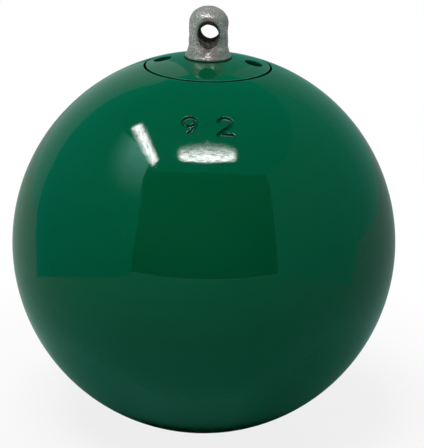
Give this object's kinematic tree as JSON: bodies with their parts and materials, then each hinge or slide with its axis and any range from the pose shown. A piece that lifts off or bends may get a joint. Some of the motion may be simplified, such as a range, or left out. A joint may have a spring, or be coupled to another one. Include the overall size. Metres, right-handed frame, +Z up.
{
  "type": "athletics hammer head",
  "caption": "Head of an athletics hammer: a gloss-painted iron ball with a flush screwed cap and a steel eye that swivels freely on a ball bearing inside.",
  "frame": {"origin": "lowest point of the ball, on the swivel axis", "axes": "+Z up along the swivel axis through the eye; the eye's wire hole runs along Y, and the two spanner holes lie close to X"},
  "size_m": [0.092, 0.092, 0.1038],
  "materials": {
    "ball_paint": "gloss green enamel on cast iron",
    "cap_paint": "gloss green enamel on cast iron",
    "forged_steel": "bare forged steel, fine grain",
    "bearing_steel": "ground and polished bearing steel",
    "cage_brass": "pressed brass",
    "zinc_plate": "bright zinc plate"
  },
  "bodies": {
    "head": {"iron_ball": "ball_paint", "bearing_cap": "cap_paint", "upper_race": "bearing_steel"},
    "spindle": {"swivel_eye": "forged_steel", "lower_race": "bearing_steel", "spindle_washer": "zinc_plate", "castle_nut": "zinc_plate", "split_pin": "zinc_plate"},
    "ball_row": {"ball_cage": "cage_brass"},
    "roller_1": {"rolling_ball_1": "bearing_steel"},
    "roller_2": {"rolling_ball_2": "bearing_steel"},
    "roller_3": {"rolling_ball_3": "bearing_steel"},
    "roller_4": {"rolling_ball_4": "bearing_steel"},
    "roller_5": {"rolling_ball_5": "bearing_steel"},
    "roller_6": {"rolling_ball_6": "bearing_steel"},
    "roller_7": {"rolling_ball_7": "bearing_steel"},
    "roller_8": {"rolling_ball_8": "bearing_steel"},
    "roller_9": {"rolling_ball_9": "bearing_steel"}
  },
  "joints": [
    {"name": "swivel_spin", "type": "hinge", "parent": "head", "child": "spindle", "pos_m": [0, 0, 0.0715], "axis": [0, 0, 1], "continuous": true},
    {"name": "cage_spin", "type": "hinge", "parent": "head", "child": "ball_row", "pos_m": [0, 0, 0.0715], "axis": [0, 0, 1], "continuous": true},
    {"name": "ball_roll_1", "type": "hinge", "parent": "ball_row", "child": "roller_1", "pos_m": [0.0085, 0, 0.0715], "axis": [1, 0, 0], "continuous": true},
    {"name": "ball_roll_2", "type": "hinge", "parent": "ball_row", "child": "roller_2", "pos_m": [0.00651, 0.00546, 0.0715], "axis": [0.766, 0.6428, 0], "continuous": true},
    {"name": "ball_roll_3", "type": "hinge", "parent": "ball_row", "child": "roller_3", "pos_m": [0.00148, 0.00837, 0.0715], "axis": [0.1736, 0.9848, 0], "continuous": true},
    {"name": "ball_roll_4", "type": "hinge", "parent": "ball_row", "child": "roller_4", "pos_m": [-0.00425, 0.00736, 0.0715], "axis": [-0.5, 0.866, 0], "continuous": true},
    {"name": "ball_roll_5", "type": "hinge", "parent": "ball_row", "child": "roller_5", "pos_m": [-0.00799, 0.00291, 0.0715], "axis": [-0.9397, 0.342, 0], "continuous": true},
    {"name": "ball_roll_6", "type": "hinge", "parent": "ball_row", "child": "roller_6", "pos_m": [-0.00799, -0.00291, 0.0715], "axis": [-0.9397, -0.342, 0], "continuous": true},
    {"name": "ball_roll_7", "type": "hinge", "parent": "ball_row", "child": "roller_7", "pos_m": [-0.00425, -0.00736, 0.0715], "axis": [-0.5, -0.866, 0], "continuous": true},
    {"name": "ball_roll_8", "type": "hinge", "parent": "ball_row", "child": "roller_8", "pos_m": [0.00148, -0.00837, 0.0715], "axis": [0.1736, -0.9848, 0], "continuous": true},
    {"name": "ball_roll_9", "type": "hinge", "parent": "ball_row", "child": "roller_9", "pos_m": [0.00651, -0.00546, 0.0715], "axis": [0.766, -0.6428, 0], "continuous": true}
  ],
  "couplings": [
    {"joint": "cage_spin", "follows": "swivel_spin", "ratio": 0.5},
    {"joint": "ball_roll_1", "follows": "swivel_spin", "ratio": 1.785},
    {"joint": "ball_roll_2", "follows": "swivel_spin", "ratio": 1.785},
    {"joint": "ball_roll_3", "follows": "swivel_spin", "ratio": 1.785},
    {"joint": "ball_roll_4", "follows": "swivel_spin", "ratio": 1.785},
    {"joint": "ball_roll_5", "follows": "swivel_spin", "ratio": 1.785},
    {"joint": "ball_roll_6", "follows": "swivel_spin", "ratio": 1.785},
    {"joint": "ball_roll_7", "follows": "swivel_spin", "ratio": 1.785},
    {"joint": "ball_roll_8", "follows": "swivel_spin", "ratio": 1.785},
    {"joint": "ball_roll_9", "follows": "swivel_spin", "ratio": 1.785}
  ]
}
